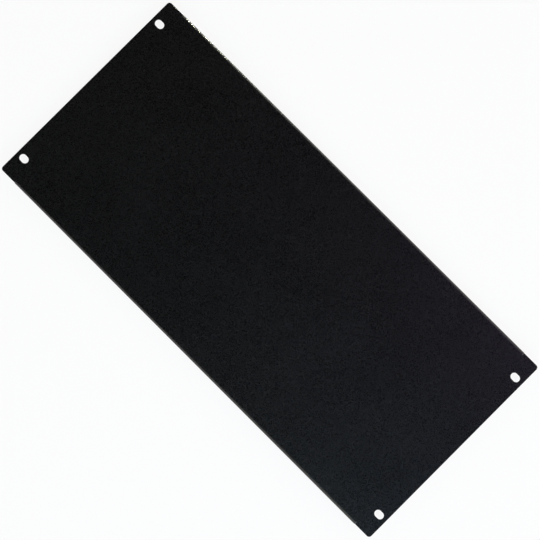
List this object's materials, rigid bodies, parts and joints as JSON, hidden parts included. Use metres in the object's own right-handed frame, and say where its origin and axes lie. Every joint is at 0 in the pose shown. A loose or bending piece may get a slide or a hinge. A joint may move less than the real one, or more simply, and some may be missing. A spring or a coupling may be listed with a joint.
{
  "type": "rack blanking panel",
  "caption": "Folded steel blanking panel that closes empty units of a 19-inch rack, with plain ears, mounting slots and rear flanges.",
  "frame": {"origin": "middle of the plane that the free edges of the two flanges rest on", "axes": "+X along the panel's length, +Y up its height in the rack, +Z out of the front face"},
  "size_m": [0.4826, 0.2222, 0.0127],
  "materials": {
    "black_powder_coat": "satin, fine-grained powder coat"
  },
  "bodies": {
    "root": {"blanking_panel": "black_powder_coat"}
  },
  "joints": []
}
